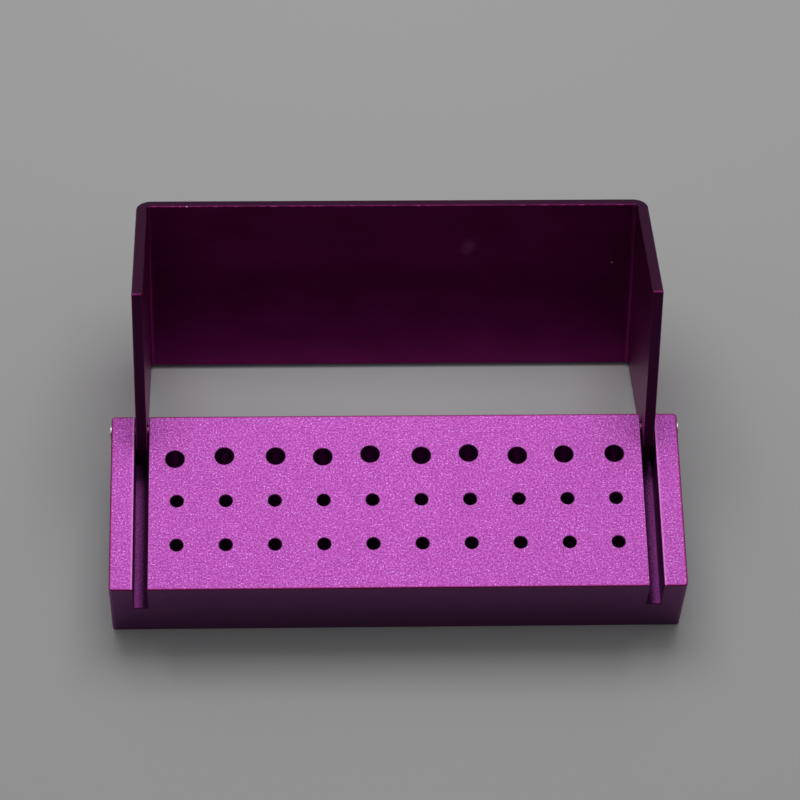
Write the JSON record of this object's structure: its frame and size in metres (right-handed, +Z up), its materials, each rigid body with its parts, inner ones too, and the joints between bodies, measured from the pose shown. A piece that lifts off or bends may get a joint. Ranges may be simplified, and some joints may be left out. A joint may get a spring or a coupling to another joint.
{
  "type": "dental bur block",
  "caption": "Dental bur block: an anodised aluminium block with rows of blind holes for bur shanks, and a folded cover on a hinge pin at each end, open and leaning back on the table.",
  "frame": {"origin": "centre of the block's base, on the table", "axes": "+X along the block to the right as seen from the front, +Y to the rear where the hinge is, +Z up"},
  "size_m": [0.076, 0.0526, 0.0332],
  "materials": {
    "anodised_block": "bead blasted and anodised purple",
    "anodised_cover": "satin sheet anodised purple",
    "pin_steel": "bright turned steel"
  },
  "bodies": {
    "base": {"block": "anodised_block", "left_hinge_pin": "pin_steel", "right_hinge_pin": "pin_steel"},
    "lid": {"cover": "anodised_cover"}
  },
  "joints": [
    {"name": "cover_hinge", "type": "hinge", "parent": "base", "child": "lid", "pos_m": [0, 0.0112, 0.0105], "axis": [1, 0, 0], "range_deg": [0, 117.92]}
  ]
}
